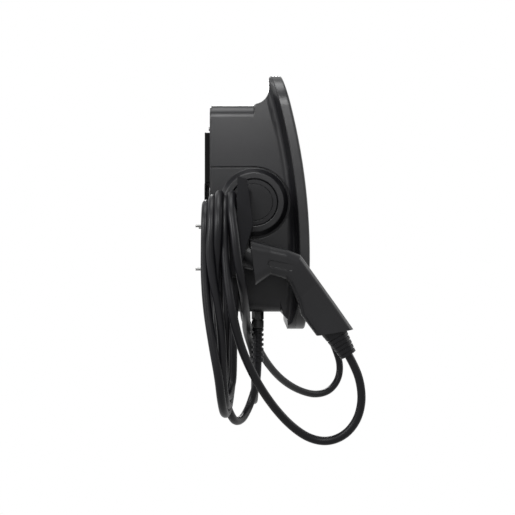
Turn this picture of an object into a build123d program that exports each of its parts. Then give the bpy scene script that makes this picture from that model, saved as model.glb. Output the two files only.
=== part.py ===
"""Wall box for charging two electric vehicles, with both charging cables hung on its side hook.

Millimetres. The wall is the plane Y = 0, the front faces -Y, +Z is up, and the origin is the
centre of the four wall screws. Left is -X and right is +X, seen from the front.
"""

from build123d import *
import os
from math import cos, pi, radians, sin, sqrt, tan

os.makedirs("parts", exist_ok=True)

# Fits and overruns
clearance = 0.3
cut_over = 5
wall = 3
full_turn = 360
sides = {-1: "left", 1: "right"}

# Shield: the curved front plate
shield_width = 340
shield_top = 297
shield_bottom = -142
shield_corner = 58
shield_radius = 1043
shield_reach = 183
shield_middle = -17
shield_rim = 17
shield_wall = 3.5
shield_edge_round = 4
shield_post_radius = 6
shield_post_x = 122
shield_post_top = 205
shield_post_bottom = -75
ear_reach = 112
ear_height = 20
ear_margin = 6

# Status light
light_width = 64
light_height = 5
light_z = 190
light_flange = 3
light_depth = 2

# Housing: the deep cover behind the shield
body_width = 280
body_top = 245
body_bottom = -112
body_back = 15
body_corner = 22
flare_start = 20
flare_side_round = 15
flare_top_start = 88
flare_lead = 6
flare_top_round = 26
flare_top_angle = 64
flare_crest_round = 11
flare_bottom_start = 134
flare_bottom_back = 146
flare_bottom_round = 12
flare_bottom_angle = 68

# Rear shell
rear_back = 12.6
rear_rim_gap = 4
rear_rim_height = 26
seal_height = 3
post_radius = 5
post_x = 118
post_top = 205
post_bottom = -80
post_start = 45
post_end = 75
grommet_radius = 13
grommet_flange = 3
grommet_bore = 9
grommet_z = -85

# Side module with its round boss, one on each side
boss_y = -89
boss_z = 76
boss_base_radius = 59.8
boss_seam = 2
boss_top_radius = 50.5
boss_height = 12
boss_edge_round = 1.5
module_flange = 6
module_back = 20
module_hollow_radius = 50
module_floor = 3.5
dish_radius = 40
dish_depth = 5
cap_height = 3
cap_edge = 1
cap_groove_radius = 32
cap_groove_width = 1.2

# Wall bracket and its screws
bracket_width = 140
bracket_bottom = -62
bracket_top = 206
bracket_sheet = 2.5
bracket_corner = 8
channel_width = 120
channel_bottom = 115
hook_tab_x = 35
hook_tab_width = 22
hook_tab_z = 150
hook_tab_rise = 13
hook_tab_reach = 3.6
hook_slot_height = 17
foot_width = 24
foot_height = 14
screw_spacing_x = 100
screw_spacing_z = 78
wall_screw_radius = 2.5
wall_neck_radius = 3
wall_screw_head = 5.2
wall_screw_head_height = 3.4
wall_screw_length = 17
screw_radius = 2
screw_head = 3.6
screw_head_height = 2.4
screw_length = 12
socket_share = 0.5

# Cable and hook
cable_radius = 7
cable_embed = 3
bend_share = 0.45
hook_x = -220
hook_z = 28
hook_radius = 34
hook_shell = 4
hook_back = 8
hook_floor = 3
hook_peg_radius = 3
hook_peg_length = 6
hook_peg_spacing = 44
coil_back = 4.5
coil_front = 62
coil_outer = 64.5
coil_bottom = -279
coil_shoulder_z = -50
coil_foot_back = 31
coil_foot_front = 59

# Holster: block that carries the hook and takes the connector's nose
gun_x = 214
holster_outer_x = 262
holster_inner_x = 170
holster_x = 220
holster_half = 33.5
holster_plate_back = 62.3
holster_block_back = 24
holster_top = 112
holster_shoulder_y = -78
holster_shoulder_z = 108
holster_nose_y = -87.5
holster_nose_z = 35
holster_foot_y = -62.6
holster_bottom = -50
holster_round = 5
arm_bottom = 20
arm_top = 105
arm_foot_height = 44
arm_foot_depth = 18
arm_screw_spacing = 28
arm_y = -75
arm_drop = 2
socket_depth = 42

# Charging connector
handle_reach = 176
handle_width = 66
handle_wall = 3.5
handle_corner_share = 0.28
nose_radius = 25
nose_wall = 2.5
nose_length = 38
nose_root = 19
nose_tilt = 15
nose_y = -74.5
nose_z = -10.8
insert_radius = 19.5
insert_length = 30
pin_radius = 2.8
pin_circle = 11.5
pin_length = 26
pin_count = 6
relief_tilt = 58.6
relief_length = 43.9
relief_start_radius = 19.7
relief_end_radius = 13.8
relief_plug = 12
relief_plug_radius = 12
relief_skew = 8
relief_slots = 5
relief_slot_width = 2.2
relief_slot_depth = 1.8
grip_length = 42
grip_height = 11
grip_depth = 1.5
grip_y = -132
grip_z = -31
grip_tilt = 12

# Cable glands and bend reliefs under the body
gland_x = 105
gland_y = -95
gland_turn = 30
hex_sides = 6
gland_radius = 10.5
gland_nut_height = 14
gland_height = 30
gland_neck = 9
gland_neck_height = 2
thread_radius = 8.5
thread_length = 14
lock_nut_radius = 13
lock_nut_height = 5
bend_length = 58
bend_core_radius = 7.8
bend_rib_radius = 10.4
bend_ribs = 6
bend_rib_share = 0.45
bend_collar = 6

# Inner parts
rail_width = 226
rail_height = 35
rail_depth = 7.5
rail_sheet = 1
rail_brim = 5
rail_screw_margin = 38
rail_z = -50
rail_stand = 7
breaker_x = 28
breaker_width = 35.4
breaker_height = 84
breaker_depth = 44
breaker_nose = 14
breaker_nose_height = 45
lever_width = 12
lever_radius = 5
lever_length = 13
lever_thick = 3
lever_sink = 3
lever_tilt = 30
lever_pin_radius = 1.5
lever_pin_reach = 3
tester_radius = 2.5
tester_length = 6
tester_rise = 1.6
tester_drop = 15
tester_bore = 8
device_gap = 9.3
terminal_width = 50
terminal_height = 40
terminal_depth = 34
terminal_bores = 5
terminal_bore_share = 0.25
terminal_bore_depth = 11
meter_depth = 52
board_width = 200
board_height = 130
board_thick = 1.6
board_y = 50.4
board_z = 85
board_screw_margin = 8
board_post_radius = 4
relay_x = 50
relay_z = 105
relay_width = 44
relay_height = 34
relay_depth = 28
module_box_width = 60
module_box_height = 30
module_box_depth = 9
module_box_z = 50

# Worked out from the sizes above
body_side = body_width / 2
shield_side = shield_width / 2
shield_axis_y = shield_radius - shield_reach
shield_axis = Axis((0, shield_axis_y, shield_middle), (1, 0, 0))
rear_front = rear_back + wall
rim_side = body_side - wall - rear_rim_gap
rim_top = body_top - wall - rear_rim_gap
rim_bottom = body_bottom + wall + rear_rim_gap
boss_face = body_side + boss_height
dish_face = boss_face - dish_depth
cap_face = dish_face + cap_height
module_inner = body_side - 2 * wall
rail_screw_x = rail_width / 2 - rail_screw_margin
terminal_x = breaker_x + breaker_width / 2 + device_gap + terminal_width / 2
board_post_x = board_width / 2 - board_screw_margin
board_post_z = board_height / 2 - board_screw_margin
screw_places = [(x, z) for x in (-post_x, post_x) for z in (post_bottom, post_top)]
shield_places = [
    (x, z) for x in (-shield_post_x, shield_post_x) for z in (shield_post_bottom, shield_post_top)
]
board_places = [
    (x, board_z + z) for x in (-board_post_x, board_post_x) for z in (-board_post_z, board_post_z)
]
wall_places = [
    (x, z)
    for x in (-screw_spacing_x / 2, screw_spacing_x / 2)
    for z in (-screw_spacing_z / 2, screw_spacing_z / 2)
]
rail_places = [(-rail_screw_x, rail_z), (rail_screw_x, rail_z)]
arm_screw_places = [(arm_y, boss_z - arm_drop + z) for z in (-arm_screw_spacing / 2, arm_screw_spacing / 2)]
peg_y = -(holster_block_back + holster_plate_back) / 2
peg_places = [(hook_x - hook_peg_spacing / 2, peg_y), (hook_x + hook_peg_spacing / 2, peg_y)]
lock_z = bracket_bottom + foot_height / 2
hook_slot_z = hook_tab_z + bracket_sheet - hook_slot_height / 2
rail_back = rear_front + rail_stand
rail_front = rail_back + rail_depth


def save(part, name):
    """Labels a finished piece and writes its STEP file."""
    part.label = name
    export_step(part, f"parts/{name}.step")


def shield_y(z, inset=0):
    """Y of the shield's curved front at height z, moved back by inset."""
    return shield_axis_y - sqrt((shield_radius - inset) ** 2 - (z - shield_middle) ** 2)


def curved_block(inset, back):
    """Solid from the plane Y = -back out to the shield's curve moved back by inset."""
    low = shield_bottom - shield_rim
    high = shield_top + shield_rim
    with BuildPart() as block:
        with BuildSketch(Plane.YZ):
            with BuildLine():
                curve = ThreePointArc(
                    (shield_y(low, inset), low),
                    (shield_y(shield_middle, inset), shield_middle),
                    (shield_y(high, inset), high),
                )
                Polyline(curve @ 1, (-back, high), (-back, low), curve @ 0)
            make_face()
        extrude(amount=shield_side + cut_over, both=True)
    return block.part


def outline_block(half_width, bottom, top, corner, back, front):
    """Rounded block with the given front outline, between two distances from the wall."""
    with BuildPart() as block:
        with BuildSketch(Plane.XZ.offset(back)):
            with Locations((0, (bottom + top) / 2)):
                RectangleRounded(2 * half_width, top - bottom, corner)
        extrude(amount=front - back)
    return block.part


def spread_block(inset, start, spread, low, high):
    """Form that comes out of the body's outline at a distance start and widens towards the front."""
    margin = inset + flare_lead * tan(radians(spread))
    with BuildPart() as block:
        with BuildSketch(Plane.XZ.offset(start - flare_lead)):
            with Locations((0, (body_bottom + body_top) / 2)):
                RectangleRounded(
                    body_width - 2 * margin, body_top - body_bottom - 2 * margin, body_corner - margin
                )
        extrude(amount=shield_reach - start + flare_lead, taper=-spread)
        with BuildSketch(Plane.YZ):
            with Locations((-shield_reach, (low + high) / 2)):
                Rectangle(2 * shield_reach, high - low)
        extrude(amount=shield_width, both=True, mode=Mode.INTERSECT)
    return block.part


def side_outline(inset):
    """Whole-width block with the flare's outline as seen from the side."""
    back = cut_over - flare_top_start
    top = body_top - inset
    bottom = body_bottom + inset
    crest = shield_top - inset
    rise = -(flare_top_start + flare_top_round) - inset
    drop = -flare_bottom_back - inset
    reach = -shield_reach - cut_over
    with BuildPart() as block:
        with BuildSketch(Plane.YZ):
            with BuildLine():
                roof = Line((back, top), (-flare_top_start - inset, top))
                sweep_up = TangentArc(roof @ 1, (rise, top + flare_top_round), tangent=roof % 1)
                riser = Line(sweep_up @ 1, (rise, crest - flare_crest_round))
                turn = TangentArc(riser @ 1, (rise - flare_crest_round, crest), tangent=riser % 1)
                Polyline(
                    turn @ 1,
                    (reach, crest),
                    (reach, shield_bottom + inset),
                    (drop, shield_bottom + inset),
                    (drop, bottom - flare_bottom_round),
                    (drop + flare_bottom_round, bottom),
                    (back, bottom),
                    roof @ 0,
                )
            make_face()
        extrude(amount=shield_width, both=True)
    return block.part


def flare_form(inset):
    """The flare between body and shield: it follows the shield's curve and its own side outline."""
    side = body_side - inset
    edge = shield_side - inset
    front = -(shield_reach - shield_rim) - inset
    bend_y = front + flare_start
    back = cut_over - flare_top_start
    with BuildPart() as flare:
        with BuildSketch(Plane.XY.offset(shield_middle)):
            with BuildLine():
                inner = Line((side, back), (side, bend_y))
                bend = TangentArc(
                    inner @ 1, (side + flare_side_round, bend_y - flare_side_round), tangent=inner % 1
                )
                Polyline(bend @ 1, (edge, front), (0, front), (0, back), inner @ 0)
            make_face()
            mirror(about=Plane.YZ)
        revolve(axis=shield_axis, revolution_arc=full_turn)
        add(side_outline(inset), mode=Mode.INTERSECT)
        add(
            outline_block(
                edge,
                shield_bottom + inset,
                shield_top - inset,
                shield_corner - inset,
                0,
                shield_reach + cut_over,
            ),
            mode=Mode.INTERSECT,
        )
        with BuildPart(mode=Mode.PRIVATE) as limit:
            middle = (body_bottom + body_top) / 2
            add(spread_block(inset, flare_top_start, flare_top_angle, middle, 2 * shield_top))
            add(spread_block(inset, flare_bottom_start, flare_bottom_angle, 2 * shield_bottom, middle))
        add(limit.part, mode=Mode.INTERSECT)
    return flare.part


def housing_form(inset, over):
    """The housing's outer form moved inwards by inset, run on by over at its open back and front."""
    with BuildPart() as form:
        add(
            outline_block(
                body_side - inset,
                body_bottom + inset,
                body_top - inset,
                body_corner - inset,
                body_back - over,
                shield_reach + cut_over,
            )
        )
        add(curved_block(shield_rim - over, 0), mode=Mode.INTERSECT)
        add(flare_form(inset))
    return form.part


def module_outline(radius, back):
    """Draws a half disc with straight edges to the back into the open sketch on a YZ plane."""
    with Locations((boss_y, boss_z)):
        Circle(radius)
    with Locations(((boss_y - back) / 2, boss_z)):
        Rectangle(-back - boss_y, 2 * radius)


def ear_back(z):
    """Y of the back of the ear that carries the shield at height z, short of the flare."""
    return shield_y(z, shield_rim) + flare_start + ear_margin


def screws(plane, places, radius, head_radius, head_height, length):
    """Group of screws: heads stand out along the plane's normal, shanks run the other way."""
    with BuildPart() as group:
        with BuildSketch(plane):
            with Locations(*places):
                Circle(head_radius)
        extrude(amount=head_height)
        with BuildSketch(plane.offset(head_height)):
            with Locations(*places):
                RegularPolygon(head_radius * socket_share, side_count=6)
        extrude(amount=-head_height * socket_share, mode=Mode.SUBTRACT)
        with BuildSketch(plane):
            with Locations(*places):
                Circle(radius)
        extrude(amount=-length)
    return group.part


# Housing: deep cover with a flare, open at the back and behind the shield
with BuildPart() as front_housing:
    add(housing_form(0, 0))
    add(housing_form(wall, cut_over), mode=Mode.SUBTRACT)
    # Seats for the two side modules
    for side in sides:
        with BuildSketch(Plane.YZ.offset(side * module_inner)):
            module_outline(boss_base_radius + boss_seam, 0)
        extrude(amount=side * (2 * wall + cut_over), mode=Mode.SUBTRACT)
    # Pillars that take the rear shell's screws, each with a rib to the nearest wall
    with BuildSketch(Plane.XZ.offset(rear_front + clearance)):
        with Locations(*screw_places):
            Circle(post_radius)
    extrude(amount=post_end - rear_front)
    for x, z in screw_places:
        rib_end = body_top - wall / 2 if z > 0 else body_bottom + wall / 2
        with BuildSketch(Plane.XZ.offset(post_start)):
            with Locations((x, (z + rib_end) / 2)):
                Rectangle(wall, abs(rib_end - z))
        extrude(amount=post_end - post_start)
    # Ears that the shield is screwed to
    for x, z in shield_places:
        outer = (body_side - wall / 2) * (1 if x > 0 else -1)
        inner = ear_reach * (1 if x > 0 else -1)
        with BuildSketch(Plane.XZ.offset(-ear_back(z))):
            with Locations(((outer + inner) / 2, z)):
                Rectangle(abs(outer - inner), ear_height)
        extrude(amount=wall)
    # Screw holes, then the holes for the cable glands
    with BuildSketch(Plane.XZ.offset(rear_front)):
        with Locations(*screw_places):
            Circle(screw_radius + clearance)
    extrude(amount=screw_length + wall, mode=Mode.SUBTRACT)
    with BuildSketch(Plane.XZ.offset(post_end)):
        with Locations(*shield_places):
            Circle(screw_radius + clearance)
    extrude(amount=shield_reach, mode=Mode.SUBTRACT)
    with BuildSketch(Plane.XY.offset(body_bottom - cut_over)):
        with Locations((-gland_x, gland_y), (gland_x, gland_y)):
            Circle(thread_radius + clearance)
    extrude(amount=wall + 2 * cut_over, mode=Mode.SUBTRACT)
save(front_housing.part, "front_housing")

# Shield: curved front plate with a turned rim, hollow behind
with BuildPart() as front_shield:
    add(curved_block(0, body_back))
    add(
        outline_block(
            shield_side, shield_bottom, shield_top, shield_corner, body_back, shield_reach + cut_over
        ),
        mode=Mode.INTERSECT,
    )
    front_face = front_shield.faces().filter_by(GeomType.CYLINDER).sort_by(Axis.Y)[0]
    fillet(front_face.edges(), radius=shield_edge_round)
    add(side_outline(0), mode=Mode.INTERSECT)
    add(curved_block(shield_rim, 0), mode=Mode.SUBTRACT)
    with BuildPart(mode=Mode.PRIVATE) as hollow:
        add(curved_block(shield_wall, 0))
        add(
            outline_block(
                shield_side - shield_wall,
                shield_bottom + shield_wall,
                shield_top - shield_wall,
                shield_corner - shield_wall,
                0,
                shield_reach + cut_over,
            ),
            mode=Mode.INTERSECT,
        )
    add(hollow.part, mode=Mode.SUBTRACT)
    # Posts that stand on the housing's ears
    with BuildPart(mode=Mode.PRIVATE) as posts:
        for x, z in shield_places:
            with BuildSketch(Plane.XZ.offset(wall - ear_back(z))):
                with Locations((x, z)):
                    Circle(shield_post_radius)
            extrude(amount=shield_reach)
        add(curved_block(shield_wall / 2, 0), mode=Mode.INTERSECT)
        for x, z in shield_places:
            with BuildSketch(Plane.XZ.offset(-ear_back(z))):
                with Locations((x, z)):
                    Circle(screw_radius + clearance)
            extrude(amount=screw_length + wall, mode=Mode.SUBTRACT)
    add(posts.part)
    # Slot for the status light
    with BuildSketch(Plane.XZ.offset(body_back)):
        with Locations((0, light_z)):
            SlotOverall(light_width, light_height)
    extrude(amount=shield_reach, mode=Mode.SUBTRACT)
save(front_shield.part, "front_shield")

# Light guide that fills the slot from behind
with BuildPart() as status_light:
    add(curved_block(0, 0))
    with BuildSketch(Plane.XZ):
        with Locations((0, light_z)):
            SlotOverall(light_width - 2 * clearance, light_height - 2 * clearance)
    extrude(amount=shield_reach + cut_over, mode=Mode.INTERSECT)
    with BuildPart(mode=Mode.PRIVATE) as flange:
        add(curved_block(shield_wall, 0))
        with BuildSketch(Plane.XZ):
            with Locations((0, light_z)):
                SlotOverall(light_width + 2 * light_flange, light_height + 2 * light_flange)
        extrude(amount=shield_reach + cut_over, mode=Mode.INTERSECT)
    add(flange.part)
    add(curved_block(shield_wall + light_depth, -cut_over), mode=Mode.SUBTRACT)
save(status_light.part, "status_light")

# Screws that hold the shield to the housing's ears
with BuildPart() as shield_screws:
    for z in (shield_post_bottom, shield_post_top):
        behind_ear = Plane((0, ear_back(z), 0), x_dir=(-1, 0, 0), z_dir=(0, 1, 0))
        places = [(-shield_post_x, z), (shield_post_x, z)]
        add(screws(behind_ear, places, screw_radius, screw_head, screw_head_height, screw_length))
save(shield_screws.part, "shield_screws")

# Rear shell: back plate with a rim, stand-offs, and slots for the bracket's hooks
with BuildPart() as rear_shell:
    add(
        outline_block(
            body_side - wall - clearance,
            body_bottom + wall + clearance,
            body_top - wall - clearance,
            body_corner - wall,
            rear_back,
            rear_front,
        )
    )
    with BuildSketch(Plane.XZ.offset(rear_front)):
        with Locations((0, (rim_bottom + rim_top) / 2)):
            RectangleRounded(2 * rim_side, rim_top - rim_bottom, body_corner - wall - rear_rim_gap)
            RectangleRounded(
                2 * (rim_side - wall),
                rim_top - rim_bottom - 2 * wall,
                body_corner - 2 * wall - rear_rim_gap,
                mode=Mode.SUBTRACT,
            )
    extrude(amount=rear_rim_height)
    # Stand-offs for the circuit board and for the rail
    with BuildSketch(Plane.XZ.offset(rear_front)):
        with Locations(*board_places):
            Circle(board_post_radius)
    extrude(amount=board_y - rear_front)
    with BuildSketch(Plane.XZ.offset(rear_front)):
        with Locations(*rail_places):
            Circle(board_post_radius)
    extrude(amount=rail_stand)
    # Slots that drop over the hooks, then the screw holes and the supply entry
    with BuildSketch(Plane.XZ.offset(rear_back - cut_over)):
        with Locations(*[(x, hook_slot_z) for x in (-hook_tab_x, hook_tab_x)]):
            Rectangle(hook_tab_width + 2 * clearance, hook_slot_height)
        with Locations(*screw_places, (0, lock_z)):
            Circle(screw_radius + clearance)
        with Locations((0, grommet_z)):
            Circle(grommet_radius)
    extrude(amount=wall + 2 * cut_over, mode=Mode.SUBTRACT)
    with BuildSketch(Plane.XZ.offset(board_y)):
        with Locations(*board_places):
            Circle(screw_radius)
    extrude(amount=-screw_length, mode=Mode.SUBTRACT)
save(rear_shell.part, "rear_shell")

# Rubber seal between the housing's wall and the rear shell's rim
with BuildPart() as housing_seal:
    with BuildSketch(Plane.XZ.offset(rear_front)):
        with Locations((0, (rim_bottom + rim_top) / 2)):
            RectangleRounded(
                body_width - 2 * (wall + clearance),
                body_top - body_bottom - 2 * (wall + clearance),
                body_corner - wall,
            )
            RectangleRounded(
                2 * (rim_side + clearance),
                rim_top - rim_bottom + 2 * clearance,
                body_corner - wall - rear_rim_gap,
                mode=Mode.SUBTRACT,
            )
    extrude(amount=seal_height)
save(housing_seal.part, "housing_seal")

# Screws through the rear shell into the housing's pillars
behind_shell = Plane((0, -rear_back, 0), x_dir=(-1, 0, 0), z_dir=(0, 1, 0))
shell_screws = screws(
    behind_shell,
    [(-x, z) for x, z in screw_places],
    screw_radius,
    screw_head,
    screw_head_height,
    screw_length,
)
save(shell_screws, "shell_screws")

# Rubber grommet where the supply cable comes in through the rear shell
with BuildPart() as supply_grommet:
    with BuildSketch(Plane.XY.offset(grommet_z)):
        with BuildLine():
            Polyline(
                (grommet_bore, -rear_back + grommet_flange),
                (grommet_radius + grommet_flange, -rear_back + grommet_flange),
                (grommet_radius + grommet_flange, -rear_back),
                (grommet_radius, -rear_back),
                (grommet_radius, -rear_front),
                (grommet_radius + grommet_flange, -rear_front),
                (grommet_radius + grommet_flange, -rear_front - grommet_flange),
                (grommet_bore, -rear_front - grommet_flange),
                close=True,
            )
        make_face()
    revolve(axis=Axis((0, 0, grommet_z), (0, 1, 0)), revolution_arc=full_turn)
save(supply_grommet.part, "supply_grommet")

# Wall bracket: folded plate with a channel whose two hooks carry the box
with BuildPart() as wall_bracket:
    with BuildSketch(Plane.XZ):
        with Locations((0, (bracket_bottom + channel_bottom) / 2)):
            RectangleRounded(bracket_width, channel_bottom - bracket_bottom, bracket_corner)
        with Locations((0, (bracket_top + channel_bottom) / 2 - bracket_corner / 2)):
            Rectangle(channel_width, bracket_top - channel_bottom + bracket_corner)
    extrude(amount=bracket_sheet)
    with BuildSketch(Plane.XZ):
        with Locations((0, (bracket_top + channel_bottom) / 2)):
            RectangleRounded(channel_width, bracket_top - channel_bottom, bracket_sheet)
        with Locations((0, lock_z)):
            Rectangle(foot_width, foot_height)
    extrude(amount=rear_back - clearance)
    with BuildSketch(Plane.XZ.offset(-cut_over)):
        with Locations((0, (bracket_top + channel_bottom) / 2)):
            Rectangle(channel_width - 2 * bracket_sheet, bracket_top - channel_bottom - 2 * bracket_sheet)
        with Locations((0, lock_z)):
            Rectangle(foot_width - 2 * bracket_sheet, foot_height - 2 * bracket_sheet)
    extrude(amount=cut_over + rear_back - clearance - bracket_sheet, mode=Mode.SUBTRACT)
    # Two hooks turned up from the channel's face
    hook_places = [-hook_tab_x, hook_tab_x]
    with BuildSketch(Plane.XZ.offset(rear_back - clearance - bracket_sheet / 2)):
        with Locations(*[(x, hook_tab_z + bracket_sheet / 2) for x in hook_places]):
            Rectangle(hook_tab_width, bracket_sheet)
    extrude(amount=hook_tab_reach + bracket_sheet)
    with BuildSketch(Plane.XZ.offset(rear_front + clearance)):
        with Locations(*[(x, hook_tab_z + hook_tab_rise / 2) for x in hook_places]):
            Rectangle(hook_tab_width, hook_tab_rise)
    extrude(amount=bracket_sheet)
    # Holes for the wall screws and the lock screw
    with BuildSketch(Plane.XZ.offset(-cut_over)):
        with Locations(*wall_places):
            Circle(wall_neck_radius + clearance)
        with Locations((0, lock_z)):
            Circle(screw_radius)
    extrude(amount=rear_back + 2 * cut_over, mode=Mode.SUBTRACT)
save(wall_bracket.part, "wall_bracket")

# Screws into the wall, and the one that locks the box on its bracket
with BuildPart() as wall_screws:
    bracket_face = Plane.XZ.offset(bracket_sheet)
    add(
        screws(
            bracket_face,
            wall_places,
            wall_screw_radius,
            wall_screw_head,
            wall_screw_head_height,
            bracket_sheet + wall_screw_length,
        )
    )
    with BuildSketch(bracket_face):
        with Locations(*wall_places):
            Circle(wall_neck_radius)
    extrude(amount=-bracket_sheet)
save(wall_screws.part, "wall_screws")
lock_screw = screws(
    Plane.XZ.offset(rear_front),
    [(0, lock_z)],
    screw_radius,
    screw_head,
    screw_head_height,
    wall + screw_length / 2,
)
save(lock_screw, "lock_screw")

# Left side module: flush plate with a round boss, hollow behind
boss_axis = Axis((0, boss_y, boss_z), (1, 0, 0))
with BuildPart() as side_module_left:
    with BuildSketch(Plane.YZ.offset(-module_inner - wall)):
        module_outline(boss_base_radius, body_back)
    extrude(amount=-wall)
    with BuildSketch(Plane.YZ.offset(-module_inner)):
        module_outline(boss_base_radius + module_flange, module_back)
    extrude(amount=-wall)
    with BuildSketch(Plane.XY.offset(boss_z)):
        with BuildLine():
            Polyline(
                (-body_side + wall, boss_y),
                (-body_side + wall, boss_y + boss_base_radius - boss_edge_round),
                (-body_side, boss_y + boss_base_radius - boss_edge_round),
                (-boss_face, boss_y + boss_top_radius),
                (-boss_face, boss_y + dish_radius),
                (-dish_face, boss_y + dish_radius),
                (-dish_face, boss_y),
                close=True,
            )
        make_face()
    revolve(axis=boss_axis, revolution_arc=full_turn)
    rims = side_module_left.edges().filter_by(GeomType.CIRCLE).group_by(Axis.X)[0]
    fillet(rims, radius=boss_edge_round)
    with BuildSketch(Plane.YZ.offset(-module_inner)):
        with Locations((boss_y, boss_z)):
            Circle(module_hollow_radius)
    extrude(amount=-(dish_face - module_floor - module_inner), mode=Mode.SUBTRACT)
    with BuildSketch(Plane.YZ.offset(-module_inner)):
        with Locations(*arm_screw_places):
            Circle(screw_radius + clearance)
    extrude(amount=-boss_face, mode=Mode.SUBTRACT)
save(side_module_left.part, "side_module_left")
save(mirror(side_module_left.part, about=Plane.YZ), "side_module_right")

# Round cap that lies in the boss's dish
with BuildPart() as boss_cap_left:
    with BuildSketch(Plane.YZ.offset(-dish_face)):
        with Locations((boss_y, boss_z)):
            Circle(dish_radius - clearance)
    extrude(amount=-cap_height)
    chamfer(boss_cap_left.faces().sort_by(Axis.X)[0].outer_wire().edges(), length=cap_edge)
    with BuildSketch(Plane.YZ.offset(-cap_face)):
        with Locations((boss_y, boss_z)):
            Circle(cap_groove_radius)
            Circle(cap_groove_radius - cap_groove_width, mode=Mode.SUBTRACT)
    extrude(amount=cap_height / 2, mode=Mode.SUBTRACT)
    with BuildSketch(Plane.YZ.offset(-dish_face)):
        with Locations(*arm_screw_places):
            Circle(screw_radius + clearance)
    extrude(amount=-cap_height, mode=Mode.SUBTRACT)
save(boss_cap_left.part, "boss_cap_left")
save(mirror(boss_cap_left.part, about=Plane.YZ), "boss_cap_right")


def socket_plane(side):
    """Plane across a holster's mouth, its normal pointing up into the holster."""
    tilt = radians(nose_tilt)
    return Plane((side * gun_x, nose_y, nose_z), x_dir=(1, 0, 0), z_dir=(0, cos(tilt), sin(tilt)))


# Left holster: front plate with its arm, and the block that takes the connector's nose
with BuildPart() as holster_left:
    with BuildSketch(Plane.YZ.offset(-holster_inner_x)):
        with BuildLine():
            Polyline(
                (-holster_plate_back, holster_top),
                (holster_shoulder_y, holster_shoulder_z),
                (holster_nose_y, holster_nose_z),
                (holster_foot_y, holster_bottom),
                (-holster_plate_back, holster_bottom),
                close=True,
            )
        make_face()
    extrude(amount=-(holster_outer_x - holster_inner_x))
    fillet(holster_left.edges().filter_by(Axis.X).sort_by(Axis.Y)[0:2], radius=holster_round)
    # Arm to the boss, with a foot that stands on the cap
    with BuildSketch(Plane.YZ.offset(-boss_face - clearance)):
        with BuildLine():
            Polyline(
                (-holster_plate_back, arm_top),
                (holster_shoulder_y, arm_top),
                (holster_nose_y + clearance, holster_nose_z),
                (holster_nose_y + holster_round, arm_bottom),
                (-holster_plate_back, arm_bottom),
                close=True,
            )
        make_face()
    extrude(amount=-(holster_inner_x - boss_face))
    with BuildSketch(Plane.YZ.offset(-cap_face)):
        with Locations((arm_y, boss_z - arm_drop)):
            Rectangle(arm_foot_depth, arm_foot_height)
    extrude(amount=-(holster_inner_x - cap_face))
    # Block behind the plate
    with BuildSketch(Plane.XZ.offset(holster_block_back)):
        with Locations((-holster_x, (holster_bottom + hook_z) / 2)):
            RectangleRounded(2 * holster_half, hook_z - holster_bottom, holster_round)
    extrude(amount=holster_plate_back - holster_block_back)
    with BuildSketch(Plane.XZ.offset(holster_block_back)):
        with Locations((-holster_x, hook_z - holster_round)):
            Rectangle(2 * holster_half, 2 * holster_round)
    extrude(amount=holster_plate_back - holster_block_back)
    # Socket for the connector's nose, screw holes and peg holes
    with BuildSketch(socket_plane(-1).offset(-socket_depth)):
        Circle(nose_radius + clearance)
    extrude(amount=2 * socket_depth, mode=Mode.SUBTRACT)
    with BuildSketch(Plane.YZ.offset(-cap_face)):
        with Locations(*arm_screw_places):
            Circle(screw_radius + clearance)
    extrude(amount=-screw_length, mode=Mode.SUBTRACT)
    with BuildSketch(Plane.XY.offset(hook_z)):
        with Locations(*peg_places):
            Circle(hook_peg_radius)
    extrude(amount=-hook_peg_length - clearance, mode=Mode.SUBTRACT)
save(holster_left.part, "holster_left")
with BuildPart() as holster_right:
    add(mirror(holster_left.part, about=Plane.YZ, mode=Mode.PRIVATE))
save(holster_right.part, "holster_right")

# Half drum on top of the left holster, over which both cables hang
with BuildPart() as cable_saddle:
    with BuildSketch(Plane.XZ.offset(hook_back)):
        with Locations((hook_x, hook_z)):
            Circle(hook_radius)
            Circle(hook_radius - hook_shell, mode=Mode.SUBTRACT)
            with Locations((0, -hook_radius)):
                Rectangle(2 * hook_radius, 2 * hook_radius, mode=Mode.SUBTRACT)
            with Locations((0, hook_floor / 2)):
                Rectangle(2 * (hook_radius - hook_shell / 2), hook_floor)
    extrude(amount=holster_plate_back - hook_back)
    with BuildSketch(Plane.XY.offset(hook_z)):
        with Locations(*peg_places):
            Circle(hook_peg_radius)
    extrude(amount=-hook_peg_length)
save(cable_saddle.part, "cable_saddle")


def along_axis(start, direction, stations):
    """Solid of revolution about a line: stations are pairs of distance along it and radius."""
    across = Plane(start, x_dir=(1, 0, 0), z_dir=direction)
    profile = Plane(start, x_dir=(1, 0, 0), z_dir=across.y_dir)
    with BuildPart() as turned:
        with BuildSketch(profile):
            with BuildLine():
                points = [(radius, -distance) for distance, radius in stations]
                Polyline((0, -stations[0][0]), *points, (0, -stations[-1][0]), close=True)
            make_face()
        revolve(axis=Axis(start, direction), revolution_arc=full_turn)
    return turned.part


# Handle of the connector as seen from the side: upper and lower edge of each section from the
# holster's mouth outwards, and the section's width, all as shares of the handle's reach and width
handle_upper_shares = [
    (-0.043, 0.131),
    (-0.231, 0.073),
    (-0.38, 0.036),
    (-0.511, -0.018),
    (-0.679, -0.251),
    (-0.84, -0.475),
    (-1, -0.703),
]
handle_lower_shares = [
    (-0.097, -0.294),
    (-0.239, -0.199),
    (-0.38, -0.241),
    (-0.418, -0.298),
    (-0.483, -0.438),
    (-0.52, -0.578),
    (-0.66, -0.764),
]
handle_width_shares = [1, 0.88, 0.85, 0.79, 0.7, 0.7, 0.73]


def handle_point(share):
    """Place in the left connector's middle plane from its share of the handle's reach."""
    return Vector(-gun_x, nose_y + share[0] * handle_reach, nose_z + share[1] * handle_reach)


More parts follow.
